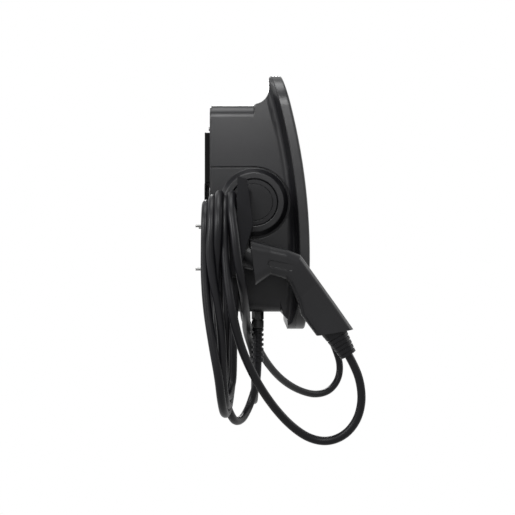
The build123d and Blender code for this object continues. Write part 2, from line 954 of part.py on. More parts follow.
def handle_form(inset, first, last):
    """Loft through the handle's sections from first to last, moved inwards by inset."""
    with BuildPart() as form:
        for number in range(first, last + 1):
            upper = handle_point(handle_upper_shares[number])
            lower = handle_point(handle_lower_shares[number])
            rise = (upper - lower).normalized()
            outwards = Vector(1, 0, 0).cross(rise) * -1
            centre = (upper + lower) / 2
            if inset and number == first:
                centre = centre + outwards * inset
            height = (upper - lower).length - 2 * inset
            width = handle_width * handle_width_shares[number] - 2 * inset
            with BuildSketch(Plane(centre, x_dir=(1, 0, 0), z_dir=outwards)):
                RectangleRounded(width, height, handle_corner_share * min(width, height))
        loft(ruled=True)
    return form.part


nose_direction = Vector(0, -cos(radians(nose_tilt)), -sin(radians(nose_tilt)))
nose_mouth = Vector(-gun_x, nose_y, nose_z)
nose_tip = nose_mouth - nose_direction * nose_length
relief_start = (handle_point(handle_upper_shares[-1]) + handle_point(handle_lower_shares[-1])) / 2
relief_direction = Vector(0, -cos(radians(relief_tilt)), -sin(radians(relief_tilt)))
relief_end = relief_start + relief_direction * relief_length

# Handle of the left connector: hollow shell, open for the nose and for the bend relief
with BuildPart() as connector_shell_left:
    add(handle_form(0, 0, len(handle_width_shares) - 1))
    add(handle_form(handle_wall, 0, len(handle_width_shares) - 2), mode=Mode.SUBTRACT)
    add(
        along_axis(nose_mouth, nose_direction, [(-nose_length, nose_radius), (nose_root, nose_radius)]),
        mode=Mode.SUBTRACT,
    )
    add(
        along_axis(
            relief_start,
            relief_direction,
            [(-2 * relief_plug, relief_plug_radius), (relief_plug, relief_plug_radius)],
        ),
        mode=Mode.SUBTRACT,
    )
    # Shallow oval grips in both cheeks
    for side in sides:
        cheek = side * handle_width * handle_width_shares[2] / 2 - gun_x
        grip_plane = Plane(
            (cheek - side * grip_depth, grip_y, grip_z),
            x_dir=(0, cos(radians(grip_tilt)), sin(radians(grip_tilt))),
            z_dir=(side, 0, 0),
        )
        with BuildSketch(grip_plane):
            SlotOverall(grip_length, grip_height)
        extrude(amount=cut_over, mode=Mode.SUBTRACT)
save(connector_shell_left.part, "connector_shell_left")

# Nose: ring round an insert with bores for the pins
with BuildPart() as connector_nose_left:
    add(
        along_axis(
            nose_mouth,
            nose_direction,
            [(-nose_length, nose_radius), (nose_root, nose_radius)],
        )
    )
    with BuildSketch(Plane(nose_tip, x_dir=(1, 0, 0), z_dir=nose_direction)):
        Circle(nose_radius - nose_wall)
        Circle(insert_radius, mode=Mode.SUBTRACT)
    extrude(amount=insert_length, mode=Mode.SUBTRACT)
    with BuildSketch(Plane(nose_tip, x_dir=(1, 0, 0), z_dir=nose_direction)):
        Circle(pin_radius + clearance)
        with PolarLocations(pin_circle, pin_count):
            Circle(pin_radius + clearance)
    extrude(amount=insert_length, mode=Mode.SUBTRACT)
save(connector_nose_left.part, "connector_nose_left")

# Contact pins that stand in the insert's bores
pin_root = nose_tip + nose_direction * insert_length
with BuildPart() as connector_pins_left:
    with BuildSketch(Plane(pin_root, x_dir=(1, 0, 0), z_dir=nose_direction * -1)):
        Circle(pin_radius)
        with PolarLocations(pin_circle, pin_count):
            Circle(pin_radius)
    extrude(amount=pin_length)
save(connector_pins_left.part, "connector_pins_left")

# Slotted rubber bend relief at the end of the handle
slope = (relief_end_radius - relief_start_radius) / relief_length
slot_pitch = relief_length / (relief_slots + 1)
with BuildPart() as connector_relief_left:
    add(
        along_axis(
            relief_start,
            relief_direction,
            [
                (-relief_plug, relief_plug_radius),
                (-relief_skew, relief_plug_radius),
                (-relief_skew, relief_start_radius - slope * relief_skew),
                (relief_length, relief_end_radius),
            ],
        )
    )
    add(connector_shell_left.part, mode=Mode.SUBTRACT)
    for number in range(1, relief_slots + 1):
        place = number * slot_pitch
        deep = relief_start_radius + slope * place - relief_slot_depth
        across = Plane(relief_start + relief_direction * place, x_dir=(1, 0, 0), z_dir=relief_direction)
        with BuildSketch(across):
            Circle(relief_start_radius + cut_over)
            Circle(deep, mode=Mode.SUBTRACT)
        extrude(amount=relief_slot_width, mode=Mode.SUBTRACT)
save(connector_relief_left.part, "connector_relief_left")

# The right connector is the left one mirrored
save(mirror(connector_shell_left.part, about=Plane.YZ), "connector_shell_right")
save(mirror(connector_nose_left.part, about=Plane.YZ), "connector_nose_right")
save(mirror(connector_pins_left.part, about=Plane.YZ), "connector_pins_right")
save(mirror(connector_relief_left.part, about=Plane.YZ), "connector_relief_right")

# Cable glands under the body, each with its lock nut inside and a ribbed bend relief below
for side, name in sides.items():
    gland_top = (side * gland_x, gland_y, body_bottom)
    with BuildPart() as cable_gland:
        with BuildSketch(Plane.XY.offset(body_bottom)):
            with Locations((side * gland_x, gland_y)):
                RegularPolygon(gland_radius, side_count=hex_sides, rotation=gland_turn)
        extrude(amount=-gland_nut_height)
        add(
            along_axis(
                gland_top,
                (0, 0, -1),
                [(-thread_length, thread_radius), (gland_nut_height, thread_radius)],
            )
        )
        add(
            along_axis(
                gland_top,
                (0, 0, -1),
                [
                    (gland_nut_height, gland_neck),
                    (gland_nut_height + gland_neck_height, gland_neck),
                    (gland_nut_height + gland_neck_height, gland_radius),
                    (gland_height - gland_neck_height, gland_radius),
                    (gland_height, gland_neck),
                ],
            )
        )
    save(cable_gland.part, f"cable_gland_{name}")
    with BuildPart() as gland_nut:
        with BuildSketch(Plane.XY.offset(body_bottom + wall)):
            with Locations((side * gland_x, gland_y)):
                RegularPolygon(lock_nut_radius, side_count=hex_sides)
                Circle(thread_radius, mode=Mode.SUBTRACT)
        extrude(amount=lock_nut_height)
    save(gland_nut.part, f"gland_nut_{name}")
    with BuildPart() as bend_relief:
        relief_top = (side * gland_x, gland_y, body_bottom - gland_height)
        add(along_axis(relief_top, (0, 0, -1), [(0, bend_core_radius), (bend_length, bend_core_radius)]))
        rib_pitch = (bend_length - bend_collar) / bend_ribs
        for number in range(bend_ribs):
            with BuildSketch(Plane.XY.offset(relief_top[2] - number * rib_pitch)):
                with Locations((side * gland_x, gland_y)):
                    Circle(bend_rib_radius)
            extrude(amount=-rib_pitch * bend_rib_share)
        with BuildSketch(Plane.XY.offset(relief_top[2] - bend_length)):
            with Locations((side * gland_x, gland_y)):
                Circle(bend_rib_radius)
        extrude(amount=bend_collar)
    save(bend_relief.part, f"bend_relief_{name}")

# Hat rail on its stand-offs
with BuildPart() as din_rail:
    with BuildSketch(Plane.YZ):
        with BuildLine():
            half = rail_height / 2
            foot = half - rail_brim
            Polyline(
                (-rail_back, rail_z - foot),
                (-rail_front + rail_sheet, rail_z - foot),
                (-rail_front + rail_sheet, rail_z - half),
                (-rail_front, rail_z - half),
                (-rail_front, rail_z - foot + rail_sheet),
                (-rail_back - rail_sheet, rail_z - foot + rail_sheet),
                (-rail_back - rail_sheet, rail_z + foot - rail_sheet),
                (-rail_front, rail_z + foot - rail_sheet),
                (-rail_front, rail_z + half),
                (-rail_front + rail_sheet, rail_z + half),
                (-rail_front + rail_sheet, rail_z + foot),
                (-rail_back, rail_z + foot),
                close=True,
            )
        make_face()
    extrude(amount=rail_width / 2, both=True)
save(din_rail.part, "din_rail")

# Two breakers on the rail, each with its lever and its test button
device_back = rail_front + clearance
nose_face = device_back + breaker_depth + breaker_nose
for side, name in sides.items():
    centre_x = side * breaker_x
    pivot = Vector(centre_x, -nose_face + lever_sink, rail_z)
    with BuildPart() as breaker:
        with BuildSketch(Plane.XZ.offset(device_back)):
            with Locations((centre_x, rail_z)):
                Rectangle(breaker_width, breaker_height)
        extrude(amount=breaker_depth)
        with BuildSketch(Plane.XZ.offset(device_back)):
            with Locations((centre_x, rail_z)):
                Rectangle(breaker_width, breaker_nose_height)
        extrude(amount=breaker_depth + breaker_nose)
        # Drum seat with its pin holes
        with BuildSketch(Plane.YZ.offset(centre_x)):
            with Locations((pivot.Y, pivot.Z)):
                Circle(lever_radius + clearance)
        extrude(amount=lever_width / 2 + clearance, both=True, mode=Mode.SUBTRACT)
        with BuildSketch(Plane.YZ.offset(centre_x)):
            with Locations((pivot.Y, pivot.Z)):
                Circle(lever_pin_radius + clearance)
        extrude(
            amount=lever_width / 2 + lever_pin_reach + 2 * clearance, both=True, mode=Mode.SUBTRACT
        )
        with BuildSketch(Plane.XZ.offset(nose_face)):
            with Locations((centre_x, rail_z - tester_drop)):
                Circle(tester_radius + clearance)
        extrude(amount=-tester_bore, mode=Mode.SUBTRACT)
    save(breaker.part, f"breaker_{name}")
    with BuildPart() as lever:
        with BuildSketch(Plane.YZ.offset(centre_x)):
            with Locations((pivot.Y, pivot.Z)):
                Circle(lever_radius)
            with Locations(
                Location(
                    (
                        pivot.Y - cos(radians(lever_tilt)) * lever_length / 2,
                        pivot.Z + sin(radians(lever_tilt)) * lever_length / 2,
                    ),
                    -lever_tilt,
                )
            ):
                Rectangle(lever_length, lever_thick)
        extrude(amount=lever_width / 2, both=True)
        with BuildSketch(Plane.YZ.offset(centre_x)):
            with Locations((pivot.Y, pivot.Z)):
                Circle(lever_pin_radius)
        extrude(amount=lever_width / 2 + lever_pin_reach, both=True)
    save(lever.part, f"breaker_lever_{name}")
    with BuildPart() as tester:
        with BuildSketch(Plane.XZ.offset(nose_face + tester_rise)):
            with Locations((centre_x, rail_z - tester_drop)):
                Circle(tester_radius)
        extrude(amount=-tester_length)
    save(tester.part, f"test_button_{name}")
    print(f"lever pivot {name}: {pivot.X:.2f} {pivot.Y:.2f} {pivot.Z:.2f}")

# Terminal block with its wire entries, and the energy meter
with BuildPart() as terminal_block:
    with BuildSketch(Plane.XZ.offset(device_back)):
        with Locations((-terminal_x, rail_z)):
            Rectangle(terminal_width, terminal_height)
    extrude(amount=terminal_depth)
    with BuildSketch(Plane.XZ.offset(device_back + terminal_depth)):
        with Locations((-terminal_x, rail_z)):
            with GridLocations(terminal_width / terminal_bores, terminal_height / 2, terminal_bores, 2):
                Circle(terminal_bore_share * terminal_width / terminal_bores)
    extrude(amount=-terminal_bore_depth, mode=Mode.SUBTRACT)
save(terminal_block.part, "terminal_block")
with BuildPart() as energy_meter:
    with BuildSketch(Plane.XZ.offset(device_back)):
        with Locations((terminal_x, rail_z)):
            Rectangle(terminal_width, breaker_height)
    extrude(amount=meter_depth - breaker_nose)
    with BuildSketch(Plane.XZ.offset(device_back)):
        with Locations((terminal_x, rail_z)):
            Rectangle(terminal_width, breaker_nose_height)
    extrude(amount=meter_depth)
save(energy_meter.part, "energy_meter")

# Circuit board, its screws, two power relays and the control module
board_front = board_y + board_thick
with BuildPart() as main_board:
    with BuildSketch(Plane.XZ.offset(board_y)):
        with Locations((0, board_z)):
            Rectangle(board_width, board_height)
        with Locations(*board_places):
            Circle(screw_radius + clearance, mode=Mode.SUBTRACT)
    extrude(amount=board_thick)
save(main_board.part, "main_board")
board_screws = screws(
    Plane.XZ.offset(board_front), board_places, screw_radius, screw_head, screw_head_height, screw_length
)
save(board_screws, "board_screws")
for side, name in sides.items():
    with BuildPart() as power_relay:
        with BuildSketch(Plane.XZ.offset(board_front)):
            with Locations((side * relay_x, relay_z)):
                Rectangle(relay_width, relay_height)
        extrude(amount=relay_depth)
        chamfer(power_relay.faces().sort_by(Axis.Y)[0].edges(), length=cap_edge)
    save(power_relay.part, f"power_relay_{name}")
with BuildPart() as control_module:
    with BuildSketch(Plane.XZ.offset(board_front)):
        with Locations((0, module_box_z)):
            RectangleRounded(module_box_width, module_box_height, wall)
    extrude(amount=module_box_depth)
save(control_module.part, "control_module")

# Screws from inside each boss into the holster's arm
arm_screws_left = screws(
    Plane.YZ.offset(-dish_face + module_floor),
    arm_screw_places,
    screw_radius,
    screw_head,
    screw_head_height,
    module_floor + cap_height + screw_length - clearance,
)
save(arm_screws_left, "arm_screws_left")
save(mirror(arm_screws_left, about=Plane.YZ), "arm_screws_right")

# Routes of the cables, from the connector or the bend relief to the coil on the hook
lead_start = body_bottom - gland_height - bend_length + cable_embed
left_tail = [
    tuple(relief_end - relief_direction * cable_embed),
    (-214, -255, -198),
    (-213, -264, -226),
    (-211, -266, -257),
    (-208, -258, -287),
    (-204, -239, -311),
    (-200, -211, -323),
    (-198, -181, -318),
    (-201, -153, -299),
    (-210, -127, -271),
    (-225, -103, -236),
    (-242, -84, -200),
    (-261, -69, -163),
    (-277, -60, -128),
    (-284, -54, -98),
]
left_lead = [
    (-gland_x, gland_y, lead_start),
    (-102, -94.5, -220),
    (-93, -92, -244),
    (-86, -86, -268),
    (-95, -77, -292),
    (-119, -67, -306),
    (-149, -57, -304),
    (-173, -49, -286),
    (-187, -42, -261),
    (-191, -37, -233),
    (-189, -33, -205),
]
right_lead = [
    (gland_x, gland_y, lead_start),
    (104, -94, -222),
    (95, -92, -249),
    (75, -90, -272),
    (45, -88, -285),
    (11, -88, -286),
    (-21, -89, -273),
    (-45, -90, -248),
    (-58, -90, -217),
    (-67, -87, -187),
    (-84, -79, -161),
    (-111, -75.5, -145),
    (-143, -75, -133),
    (-177, -76, -119),
    (-210, -75, -102),
    (-240, -74, -85),
    (-264, -71, -65),
    (-278, -66, -38),
    (-281, -61, -6),
    (-279, -58, 22),
]
right_tail = [
    (-163, -56, -27),
    (-159, -61, -53),
    (-156, -66, -77),
    (-151, -70, -98),
    (-140, -72, -116),
    (-120, -73.5, -126),
    (-96, -76, -132),
    (-68, -80, -145),
    (-37, -87, -165),
    (0, -98, -190),
    (40, -113, -218),
    (79, -132, -245),
    (116, -155, -268),
    (150, -182, -286),
    (178, -212, -297),
    (198, -241, -293),
    (209, -261, -271),
    (213, -266, -242),
    (214, -258, -212),
    (gun_x, left_tail[0][1], left_tail[0][2]),
]
routes = {
    "cable_tail_left": left_tail,
    "cable_lead_left": left_lead,
    "cable_lead_right": right_lead,
    "cable_tail_right": right_tail,
}


def bend_radii(points):
    """Radius at each inner point: as large as its two straight runs allow."""
    corners = [Vector(*point) for point in points]
    radii = []
    for before, corner, after in zip(corners, corners[1:], corners[2:]):
        arrive = corner - before
        leave = after - corner
        half_turn = radians(arrive.get_angle(leave)) / 2
        radii.append(bend_share * min(arrive.length, leave.length) / tan(half_turn))
    return radii


for name, points in routes.items():
    radii = bend_radii(points)
    with BuildPart() as tube:
        with BuildLine() as path:
            FilletPolyline(*points, radius=radii)
        with BuildSketch(Plane(path.line @ 0, z_dir=path.line % 0)):
            Circle(cable_radius)
        sweep()
    save(tube.part, name)
    length = sum(edge.length for edge in path.edges())
    share = tube.part.volume / (pi * cable_radius**2 * length)
    print(f"{name}: length {length:.0f}, volume share {share:.4f}")
    print("  radii", " ".join(f"{radius:.0f}" for radius in radii))

# Coil of both cables over the hook, as one closed solid with an eye
with BuildPart() as cable_coil:
    with BuildSketch(Plane.XZ.offset(coil_back)):
        coil_low = coil_bottom + coil_outer
        with Locations((hook_x, hook_z), (hook_x, coil_low)):
            Circle(coil_outer)
        with Locations((hook_x, (hook_z + coil_low) / 2)):
            Rectangle(2 * coil_outer, hook_z - coil_low)
        coil_eye = hook_radius + clearance
        with Locations((hook_x, hook_z), (hook_x, coil_low)):
            Circle(coil_eye, mode=Mode.SUBTRACT)
        with Locations((hook_x, (hook_z + coil_low) / 2)):
            Rectangle(2 * coil_eye, hook_z - coil_low, mode=Mode.SUBTRACT)
    extrude(amount=coil_front - coil_back)
    with BuildSketch(Plane.YZ.offset(hook_x)):
        with BuildLine():
            Polyline(
                (-coil_back, hook_z + 2 * coil_outer),
                (-coil_back, coil_shoulder_z),
                (-coil_foot_back, coil_bottom),
                (-coil_foot_front, coil_bottom),
                (-coil_front, coil_low),
                (-coil_front, hook_z + 2 * coil_outer),
                close=True,
            )
        make_face()
    extrude(amount=2 * coil_outer, both=True, mode=Mode.INTERSECT)
save(cable_coil.part, "cable_coil")
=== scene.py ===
"""Looks of the wall charging box: materials, the two charging cables, floor, light and camera."""

import math

import bpy
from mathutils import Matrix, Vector


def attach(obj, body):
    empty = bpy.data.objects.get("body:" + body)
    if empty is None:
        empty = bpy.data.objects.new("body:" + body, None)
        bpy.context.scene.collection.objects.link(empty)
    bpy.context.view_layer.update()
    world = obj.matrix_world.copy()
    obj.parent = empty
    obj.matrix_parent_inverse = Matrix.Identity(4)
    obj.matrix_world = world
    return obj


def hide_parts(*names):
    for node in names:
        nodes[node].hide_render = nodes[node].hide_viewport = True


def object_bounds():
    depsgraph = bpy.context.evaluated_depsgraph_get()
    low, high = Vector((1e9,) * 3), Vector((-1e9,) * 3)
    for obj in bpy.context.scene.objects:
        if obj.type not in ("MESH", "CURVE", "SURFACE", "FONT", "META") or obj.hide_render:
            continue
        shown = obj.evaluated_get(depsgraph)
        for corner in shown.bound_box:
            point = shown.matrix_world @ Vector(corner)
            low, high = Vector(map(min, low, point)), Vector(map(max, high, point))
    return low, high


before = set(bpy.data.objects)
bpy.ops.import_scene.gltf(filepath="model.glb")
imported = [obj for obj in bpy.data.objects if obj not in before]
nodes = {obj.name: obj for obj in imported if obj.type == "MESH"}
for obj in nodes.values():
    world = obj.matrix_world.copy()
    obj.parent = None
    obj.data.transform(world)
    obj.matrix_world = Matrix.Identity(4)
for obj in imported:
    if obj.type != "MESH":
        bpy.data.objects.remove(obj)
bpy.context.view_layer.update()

# Photograph: a level view along +X, set by the camera's place and a longish lens
CAMERA_PLACE = (-1.850, -0.0946, -0.018)
CAMERA_TURN = (90, 0, -90)
LENS = 69.8
SENSOR = 36

# Cable sizes, in metres like everything here
CABLE_DIAMETER = 0.014
LEFT_LENGTH = 2.9
RIGHT_LENGTH = 2.3
CABLE_SMOOTH = 8
CABLE_SIDES = 5

# Places where the cables leave the bend reliefs, and a start point just inside them
LEFT_EXIT = (-0.105, -0.095, -0.200)
RIGHT_EXIT = (0.105, -0.095, -0.200)
LEFT_START = (-0.105, -0.095, -0.197)
RIGHT_START = (0.105, -0.095, -0.197)
LEFT_PLUG = (-0.214, -0.2419, -0.1748)
RIGHT_PLUG = (0.214, -0.2419, -0.1748)

# Hook: the drum's axis, and the centre of the lowest part of the turns
HOOK_X = -0.220
HOOK_Z = 0.028
FOOT_Z = -0.208
# The far side of the turns hangs a little lower than the near one
FAR_DROP = 0.010
# A quadratic spline cuts inside its points, so points on an arc of 30 degree steps stand out by this share
ARC_STEP = 30
ARC_SHARE = 1.035
# Heights of the points on the legs between the hook and the foot of a turn
LEG_HEIGHTS = (-0.006, -0.050, -0.100, -0.155)

# Routes outside the coil, as in the part's source, with the left lead's loop a little higher
LEFT_LEAD = [
    (-0.102, -0.0945, -0.220),
    (-0.093, -0.0920, -0.243),
    (-0.086, -0.0860, -0.264),
    (-0.095, -0.0780, -0.285),
    (-0.119, -0.0680, -0.299),
    (-0.149, -0.0570, -0.298),
    (-0.173, -0.0490, -0.282),
    (-0.187, -0.0420, -0.259),
    (-0.191, -0.0370, -0.232),
    (-0.189, -0.0330, -0.205),
]
LEFT_TAIL = [
    (-0.214, -0.255, -0.198),
    (-0.213, -0.264, -0.226),
    (-0.211, -0.266, -0.257),
    (-0.208, -0.258, -0.287),
    (-0.204, -0.239, -0.311),
    (-0.200, -0.211, -0.323),
    (-0.198, -0.181, -0.318),
    (-0.201, -0.153, -0.299),
    (-0.210, -0.127, -0.271),
    (-0.225, -0.103, -0.236),
    (-0.242, -0.084, -0.200),
    (-0.261, -0.069, -0.163),
    (-0.277, -0.060, -0.128),
    (-0.284, -0.054, -0.098),
]
RIGHT_LEAD = [
    (0.104, -0.094, -0.222),
    (0.095, -0.092, -0.249),
    (0.075, -0.090, -0.272),
    (0.045, -0.088, -0.285),
    (0.011, -0.088, -0.286),
    (-0.021, -0.089, -0.273),
    (-0.045, -0.090, -0.248),
    (-0.058, -0.090, -0.217),
    (-0.067, -0.087, -0.187),
    (-0.084, -0.079, -0.161),
    (-0.111, -0.0755, -0.145),
    (-0.143, -0.075, -0.133),
    (-0.177, -0.076, -0.119),
    (-0.210, -0.075, -0.102),
    (-0.240, -0.074, -0.085),
    (-0.264, -0.071, -0.065),
    (-0.278, -0.066, -0.038),
    (-0.281, -0.061, -0.006),
    (-0.279, -0.058, 0.022),
]
RIGHT_TAIL = [
    (-0.163, -0.056, -0.027),
    (-0.159, -0.061, -0.053),
    (-0.156, -0.066, -0.077),
    (-0.151, -0.070, -0.098),
    (-0.140, -0.072, -0.116),
    (-0.120, -0.0735, -0.126),
    (-0.096, -0.076, -0.132),
    (-0.068, -0.080, -0.145),
    (-0.037, -0.087, -0.165),
    (0.0, -0.098, -0.190),
    (0.040, -0.113, -0.218),
    (0.079, -0.132, -0.245),
    (0.116, -0.155, -0.268),
    (0.150, -0.182, -0.286),
    (0.178, -0.212, -0.297),
    (0.198, -0.241, -0.293),
    (0.209, -0.261, -0.271),
    (0.213, -0.266, -0.242),
    (0.214, -0.258, -0.212),
]

# Passes over the drum: distance from the wall and radius of each
PASS_A = (-0.0115, 0.0413)
PASS_B = (-0.0220, 0.0507)
PASS_C = (-0.0330, 0.0573)
PASS_G = (-0.0425, 0.0491)
PASS_D = (-0.0530, 0.0563)

# Feet of the turns: radius, then Y on the near side and on the far side
FOOT_A = (0.062, -0.034, -0.052)
FOOT_B = (0.049, -0.0395, -0.051)
FOOT_C = (0.036, -0.035, -0.0536)

# Legs of the turns: X and Y at each leg height, near side first and then the far side
NEAR_A = ((-0.262, -0.0110), (-0.2645, -0.0110), (-0.272, -0.0150), (-0.281, -0.0240))
NEAR_B = ((-0.274, -0.0190), (-0.274, -0.0235), (-0.270, -0.0340), (-0.269, -0.0385))
NEAR_C = ((-0.273, -0.0310), (-0.261, -0.0303), (-0.256, -0.0308), (-0.255, -0.0315))
NEAR_G = ((-0.271, -0.0435), (-0.277, -0.0465))
FAR_LEAD = ((-0.178, -0.0120), (-0.176, -0.0150), (-0.178, -0.0220), (-0.184, -0.0300))
FAR_B = ((-0.168, -0.0230), (-0.163, -0.0290), (-0.160, -0.0380), (-0.158, -0.0490))
FAR_G = ((-0.178, -0.0410), (-0.1725, -0.0420), (-0.172, -0.0440), (-0.171, -0.0445))
FAR_D = ((-0.172, -0.0540), (-0.178, -0.0560), (-0.180, -0.0560), (-0.183, -0.0540))
FAR_C = ((-0.160, -0.0430, 0.0),)


def over_hook(lay, near_last, skip_near=False):
    """Points of one pass over the drum; near_last says that it ends on the camera's side."""
    y, radius = lay
    points = []
    for angle in range(0, 181, ARC_STEP):
        if angle == 180 and skip_near:
            continue
        turn = math.radians(angle)
        x = HOOK_X + radius * ARC_SHARE * math.cos(turn)
        points.append((x, y, HOOK_Z + radius * ARC_SHARE * math.sin(turn)))
    return points if near_last else points[::-1]


def round_foot(foot, near_first):
    """Points of the round foot of one turn, from the camera's side to the far side or back."""
    radius, near_y, far_y = foot
    points = []
    for angle in range(0, 181, ARC_STEP):
        turn = math.radians(angle)
        share = angle / 180
        x = HOOK_X - radius * ARC_SHARE * math.cos(turn)
        y = near_y + (far_y - near_y) * share
        z = FOOT_Z - radius * ARC_SHARE * math.sin(turn) - FAR_DROP * share**2
        points.append((x, y, z))
    return points if near_first else points[::-1]


def down(leg):
    """Points of a leg from the hook towards the foot."""
    return [(x, y, z) for (x, y), z in zip(leg, LEG_HEIGHTS)]


def up(leg):
    """Points of a leg from the foot towards the hook."""
    return down(leg)[::-1]


def left_route():
    """The left cable: from its bend relief up the far side, two whole turns, and on to its connector."""
    points = [LEFT_START] + LEFT_LEAD + up(FAR_LEAD)
    turns = [(PASS_A, NEAR_A, FOOT_A, FAR_B), (PASS_B, NEAR_B, FOOT_B, FAR_G)]
    for lay, near, foot, far in turns:
        points += over_hook(lay, near_last=True) + down(near)
        points += round_foot(foot, near_first=True) + up(far)
    points += over_hook(PASS_G, near_last=True) + down(NEAR_G)
    return points + LEFT_TAIL[::-1] + [LEFT_PLUG]


def right_route():
    """The right cable: under the housing to the hook, one whole turn, and back to its connector."""
    points = [RIGHT_START] + RIGHT_LEAD
    points += over_hook(PASS_D, near_last=False, skip_near=True) + down(FAR_D)
    points += round_foot(FOOT_C, near_first=False) + up(NEAR_C)
    points += over_hook(PASS_C, near_last=False) + list(FAR_C)
    return points + RIGHT_TAIL + [RIGHT_PLUG]


def cable(name, points):
    """One open spline with a round section."""
    data = bpy.data.curves.new(name, "CURVE")
    data.dimensions = "3D"
    data.resolution_u = CABLE_SMOOTH
    data.bevel_depth = CABLE_DIAMETER / 2
    data.bevel_resolution = CABLE_SIDES
    data.use_fill_caps = True
    spline = data.splines.new("NURBS")
    spline.points.add(len(points) - 1)
    for point, place in zip(spline.points, points):
        point.co = (*place, 1)
    spline.order_u = 3
    spline.use_endpoint_u = True
    piece = bpy.data.objects.new(name, data)
    bpy.context.scene.collection.objects.link(piece)
    return piece


# Waves per metre of the patterns in the materials
CLOUD_WAVES = 14
SMUDGE_WAVES = 45
STAIN_WAVES = 60
BRUSH_WAVES = 500
TRACK_WAVES = 90

# How far a noise strays from its middle, and how uneven the gloss of a material is
NOISE_LOW = 0.3
NOISE_HIGH = 0.7
TINT_LOW = 0.35
TINT_HIGH = 0.65
GLOSS_DRIFT = 0.02
BRUSH_SMOOTHER = 0.08
BRUSH_ROUGHER = 0.1
METAL_STAIN = 0.82

# Relief of the surfaces: strengths, and depths in metres
GRAIN_STRENGTH = 0.35
BRUSH_STRENGTH = 0.2
BRUSH_DEPTH = 0.00003
TRACK_DEPTH = 0.00004
TRACK_EDGE = 0.03
BOARD_ROUGH = 0.38
BEVEL_SAMPLES = 4


def tree(name):
    """A new node material, its nodes, links and main shader."""
    material = bpy.data.materials.new(name)
    material.use_nodes = True
    graph = material.node_tree
    return material, graph.nodes, graph.links, graph.nodes["Principled BSDF"]


def noise(nodes_in, links_in, scale, detail=2.0, stretch=(1, 1, 1)):
    """Noise in the object's own metres; scale is waves per metre."""
    place = nodes_in.new("ShaderNodeTexCoord")
    mapping = nodes_in.new("ShaderNodeMapping")
    mapping.inputs["Scale"].default_value = stretch
    links_in.new(place.outputs["Object"], mapping.inputs["Vector"])
    texture = nodes_in.new("ShaderNodeTexNoise")
    texture.inputs["Scale"].default_value = scale
    texture.inputs["Detail"].default_value = detail
    links_in.new(mapping.outputs["Vector"], texture.inputs["Vector"])
    return texture.outputs["Fac"]


def spread(nodes_in, links_in, source, low, high):
    """Spreads a noise from its middle range out to low and high."""
    scaled = nodes_in.new("ShaderNodeMapRange")
    scaled.inputs["From Min"].default_value = NOISE_LOW
    scaled.inputs["From Max"].default_value = NOISE_HIGH
    scaled.inputs["To Min"].default_value = low
    scaled.inputs["To Max"].default_value = high
    links_in.new(source, scaled.inputs["Value"])
    return scaled.outputs["Result"]


def tint(nodes_in, links_in, factor, dark, light):
    """Colour between two tones by a factor."""
    ramp = nodes_in.new("ShaderNodeValToRGB")
    ramp.color_ramp.elements[0].color = (*dark, 1)
    ramp.color_ramp.elements[0].position = TINT_LOW
    ramp.color_ramp.elements[1].color = (*light, 1)
    ramp.color_ramp.elements[1].position = TINT_HIGH
    links_in.new(factor, ramp.inputs["Fac"])
    return ramp.outputs["Color"]


def grainy(name, colour, rough, grain=1100, depth=0.00006, edge=0.0006, vary=0.14, gloss=0.5):
    """Moulded plastic or rubber: fine grain, faint cloudy tone, slightly rounded edges."""
    material, nodes_in, links_in, shader = tree(name)
    dark = tuple(c * (1 - vary) for c in colour)
    light = tuple(c * (1 + vary) for c in colour)
    clouds = noise(nodes_in, links_in, CLOUD_WAVES, 4)
    links_in.new(tint(nodes_in, links_in, clouds, dark, light), shader.inputs["Base Color"])
    smudge = noise(nodes_in, links_in, SMUDGE_WAVES, 5)
    uneven = spread(nodes_in, links_in, smudge, rough - GLOSS_DRIFT, rough + GLOSS_DRIFT)
    links_in.new(uneven, shader.inputs["Roughness"])
    shader.inputs["Specular IOR Level"].default_value = gloss
    rounded = nodes_in.new("ShaderNodeBevel")
    rounded.samples = BEVEL_SAMPLES
    rounded.inputs["Radius"].default_value = edge
    bump = nodes_in.new("ShaderNodeBump")
    bump.inputs["Strength"].default_value = GRAIN_STRENGTH
    bump.inputs["Distance"].default_value = depth
    links_in.new(noise(nodes_in, links_in, grain, 3), bump.inputs["Height"])
    links_in.new(rounded.outputs["Normal"], bump.inputs["Normal"])
    links_in.new(bump.outputs["Normal"], shader.inputs["Normal"])
    return material


def metal(name, colour, rough, stretch=(1, 1, 12)):
    """Plated or brushed metal: fine lines one way and uneven gloss."""
    material, nodes_in, links_in, shader = tree(name)
    dark = tuple(c * METAL_STAIN for c in colour)
    stains = noise(nodes_in, links_in, STAIN_WAVES, 4)
    links_in.new(tint(nodes_in, links_in, stains, dark, colour), shader.inputs["Base Color"])
    shader.inputs["Metallic"].default_value = 1
    lines = noise(nodes_in, links_in, BRUSH_WAVES, 3, stretch)
    uneven = spread(nodes_in, links_in, lines, rough - BRUSH_SMOOTHER, rough + BRUSH_ROUGHER)
    links_in.new(uneven, shader.inputs["Roughness"])
    bump = nodes_in.new("ShaderNodeBump")
    bump.inputs["Strength"].default_value = BRUSH_STRENGTH
    bump.inputs["Distance"].default_value = BRUSH_DEPTH
    links_in.new(lines, bump.inputs["Height"])
    links_in.new(bump.outputs["Normal"], shader.inputs["Normal"])
    return material


